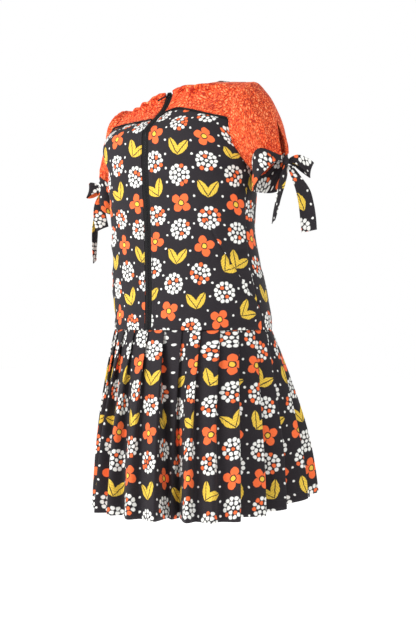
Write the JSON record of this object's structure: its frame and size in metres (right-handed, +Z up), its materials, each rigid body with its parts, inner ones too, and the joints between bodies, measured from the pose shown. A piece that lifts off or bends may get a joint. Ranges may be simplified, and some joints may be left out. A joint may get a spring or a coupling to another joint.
{
  "type": "dress",
  "caption": "Drop-waist dress with front yokes, an exposed front zip, short puffed sleeves tied with bows and a pleated skirt.",
  "frame": {"origin": "middle of the neck opening, level with the top of the wearer's left shoulder, where the shoulders hold the dress up", "axes": "+Z up, the front of the dress faces -Y, +X towards the wearer's left"},
  "size_m": [0.5762, 0.5061, 0.9455],
  "materials": {
    "dark_print_cotton": "matte",
    "orange_print_cotton": "matte",
    "black_piping": "matte",
    "black_zip_tape": "matte",
    "black_zip_metal": "satin"
  },
  "bodies": {
    "dress": {"bodice_front_left": "dark_print_cotton", "bodice_front_right": "dark_print_cotton", "bodice_back": "dark_print_cotton", "yoke_left": "orange_print_cotton", "yoke_right": "orange_print_cotton", "yoke_piping_left": "black_piping", "yoke_piping_right": "black_piping", "zip_tape_left": "black_zip_tape", "zip_tape_right": "black_zip_tape", "zip_slider": "black_zip_metal", "sleeve_left": "orange_print_cotton", "sleeve_right": "orange_print_cotton", "sleeve_band_left": "dark_print_cotton", "sleeve_band_right": "dark_print_cotton", "tie_knot_left": "dark_print_cotton", "tie_knot_right": "dark_print_cotton", "tie_loop_left": "dark_print_cotton", "tie_loop_right": "dark_print_cotton", "tie_tail_front_left": "dark_print_cotton", "tie_tail_front_right": "dark_print_cotton", "tie_tail_back_left": "dark_print_cotton", "tie_tail_back_right": "dark_print_cotton", "skirt_front": "dark_print_cotton", "skirt_back": "dark_print_cotton"},
    "pull_tab": {"zip_pull_tab": "black_zip_metal"}
  },
  "joints": [
    {"name": "pull_tab_hinge", "type": "hinge", "parent": "dress", "child": "pull_tab", "pos_m": [0, -0.07742, -0.04256], "axis": [-0.6157, 0.2747, 0.7386], "range_deg": [0, 150]}
  ]
}
